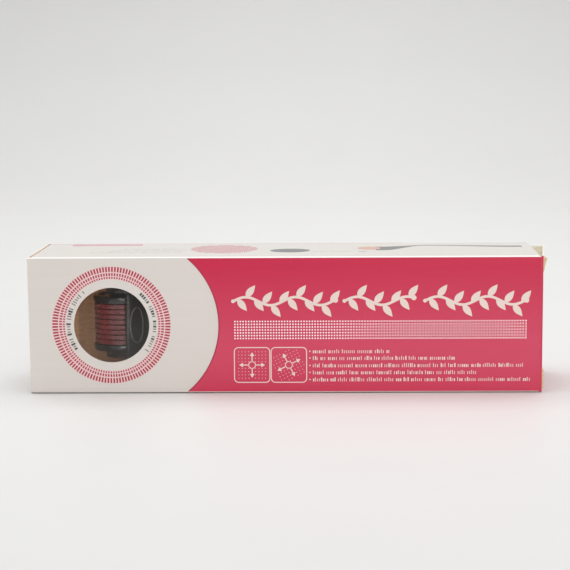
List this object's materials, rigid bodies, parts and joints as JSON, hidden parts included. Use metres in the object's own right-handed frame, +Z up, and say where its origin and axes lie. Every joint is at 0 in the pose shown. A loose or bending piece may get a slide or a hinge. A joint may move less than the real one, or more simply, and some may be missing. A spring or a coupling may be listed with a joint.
{
  "type": "boxed derma roller",
  "caption": "Derma roller with a spinning needle head, held in a clear tray inside a tuck-end retail carton with a round window.",
  "frame": {"origin": "centre of the carton's bottom face, on the surface that it rests on", "axes": "+X along the carton from the roller's head to the handle's end, +Y from the windowed front panel to the back panel, +Z up"},
  "size_m": [0.1903, 0.042, 0.0497],
  "materials": {
    "printed_board": "satin varnished print on white folding boxboard",
    "white_board": "satin varnished white outside, raw inside",
    "raw_board": "uncoated tan board",
    "clear_film": "thin clear plastic film, glossy",
    "clear_sheet": "clear thermoformed plastic sheet, glossy",
    "gloss_black": "glossy black moulded plastic",
    "disc_red": "glossy dark red moulded plastic with steel needles",
    "steel": "bright drawn steel"
  },
  "bodies": {
    "carton": {"carton_body": "printed_board", "glue_flap": "raw_board", "window_film": "clear_film"},
    "right_lid": {"right_lid": "white_board"},
    "right_tuck": {"right_tuck_flap": "white_board"},
    "right_upper_flap": {"right_upper_dust_flap": "white_board"},
    "right_lower_flap": {"right_lower_dust_flap": "white_board"},
    "left_lid": {"left_lid": "white_board"},
    "left_tuck": {"left_tuck_flap": "white_board"},
    "left_upper_flap": {"left_upper_dust_flap": "white_board"},
    "left_lower_flap": {"left_lower_dust_flap": "white_board"},
    "roller_in_tray": {"blister_tray": "clear_sheet", "yoke": "gloss_black", "axle_pin": "steel", "handle_front_shell": "gloss_black", "handle_back_shell": "gloss_black"},
    "roll": {"roll_core": "gloss_black", "upper_flange": "gloss_black", "lower_flange": "gloss_black", "needle_disc_1": "disc_red", "needle_disc_2": "disc_red", "needle_disc_3": "disc_red", "needle_disc_4": "disc_red", "needle_disc_5": "disc_red", "needle_disc_6": "disc_red", "needle_disc_7": "disc_red", "needle_disc_8": "disc_red"}
  },
  "joints": [
    {"name": "right_lid_hinge", "type": "hinge", "parent": "carton", "child": "right_lid", "pos_m": [0.0919, -0.021, 0.02485], "axis": [0, 0, -1], "range_deg": [-7.5, 157.5]},
    {"name": "right_tuck_fold", "type": "hinge", "parent": "right_lid", "child": "right_tuck", "pos_m": [0.0972, 0.01925, 0.02485], "axis": [0, 0, -1], "range_deg": [-45, 5]},
    {"name": "right_upper_flap_fold", "type": "hinge", "parent": "carton", "child": "right_upper_flap", "pos_m": [0.09175, 0, 0.04925], "axis": [0, -1, 0], "range_deg": [-3.75, 78.75]},
    {"name": "right_lower_flap_fold", "type": "hinge", "parent": "carton", "child": "right_lower_flap", "pos_m": [0.09175, 0, 0.00045], "axis": [0, 1, 0], "range_deg": [-3.75, 78.75]},
    {"name": "left_lid_hinge", "type": "hinge", "parent": "carton", "child": "left_lid", "pos_m": [-0.0919, 0.021, 0.02485], "axis": [0, 0, -1], "range_deg": [0, 165]},
    {"name": "left_tuck_fold", "type": "hinge", "parent": "left_lid", "child": "left_tuck", "pos_m": [-0.0919, -0.0196, 0.02485], "axis": [0, 0, -1], "range_deg": [-45, 5]},
    {"name": "left_upper_flap_fold", "type": "hinge", "parent": "carton", "child": "left_upper_flap", "pos_m": [-0.09175, 0, 0.04925], "axis": [0, 1, 0], "range_deg": [0, 82.5]},
    {"name": "left_lower_flap_fold", "type": "hinge", "parent": "carton", "child": "left_lower_flap", "pos_m": [-0.09175, 0, 0.00045], "axis": [0, -1, 0], "range_deg": [0, 82.5]},
    {"name": "tray_shift", "type": "slide", "parent": "carton", "child": "roller_in_tray", "axis": [1, 0, 0], "range_m": [-0.001, 0.001]},
    {"name": "roll_spin", "type": "hinge", "parent": "roller_in_tray", "child": "roll", "pos_m": [-0.0624, 0, 0.0231], "axis": [0, 0, 1], "continuous": true}
  ],
  "couplings": [
    {"joint": "right_tuck_fold", "follows": "right_lid_hinge", "ratio": -0.25},
    {"joint": "right_upper_flap_fold", "follows": "right_lid_hinge", "ratio": 0.5},
    {"joint": "right_lower_flap_fold", "follows": "right_lid_hinge", "ratio": 0.5},
    {"joint": "left_tuck_fold", "follows": "left_lid_hinge", "ratio": -0.25},
    {"joint": "left_upper_flap_fold", "follows": "left_lid_hinge", "ratio": 0.5},
    {"joint": "left_lower_flap_fold", "follows": "left_lid_hinge", "ratio": 0.5}
  ]
}
